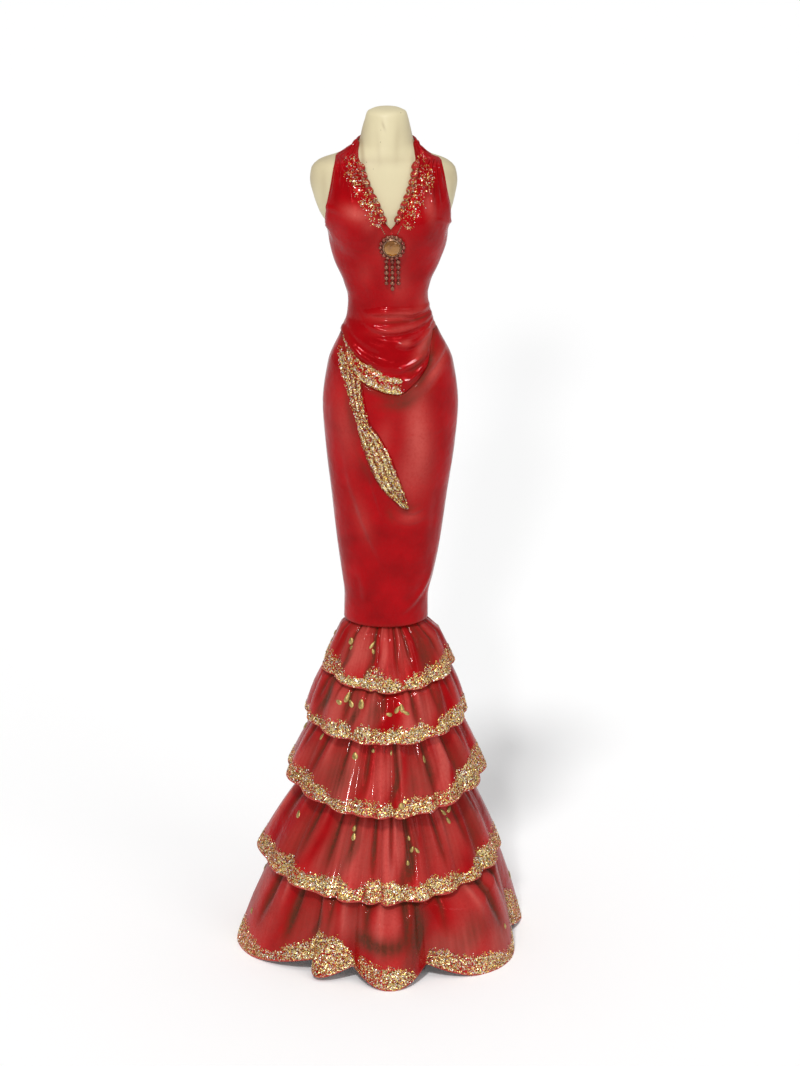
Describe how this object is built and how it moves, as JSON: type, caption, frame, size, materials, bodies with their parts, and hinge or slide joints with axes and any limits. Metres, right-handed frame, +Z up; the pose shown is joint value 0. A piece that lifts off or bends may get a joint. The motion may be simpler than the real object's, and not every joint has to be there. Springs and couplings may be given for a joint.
{
  "type": "flamenco folk gown on dress form",
  "caption": "Doll-size halter gown with a draped hip, a glittered sash and tiers of gathered ruffles, worn by a limbless dress form on a stand.",
  "frame": {"origin": "centre of the flat underside of the stand's base plate", "axes": "+Z up along the body, -Y the gown's front, +X the wearer's left"},
  "size_m": [0.1081, 0.1054, 0.3188],
  "materials": {
    "form": "aged cream, satin",
    "stand": "aged cream, satin",
    "gown": "glossy red with dark washed folds",
    "glitter": "coarse gold and silver glitter",
    "brooch": "dark aged",
    "stone": "faceted amber"
  },
  "bodies": {
    "root": {"form_torso": "form", "form_stand": "stand", "bodice_front": "gown", "bodice_back": "gown", "halter_back": "gown", "sheath_front": "gown", "sheath_back": "gown", "sash": "glitter", "ruffle_1": "gown", "ruffle_2": "gown", "ruffle_3": "gown", "ruffle_4": "gown", "ruffle_5": "gown", "neck_trim_left": "gown", "neck_trim_right": "gown", "brooch_plate": "brooch", "brooch_stone": "stone"}
  },
  "joints": []
}
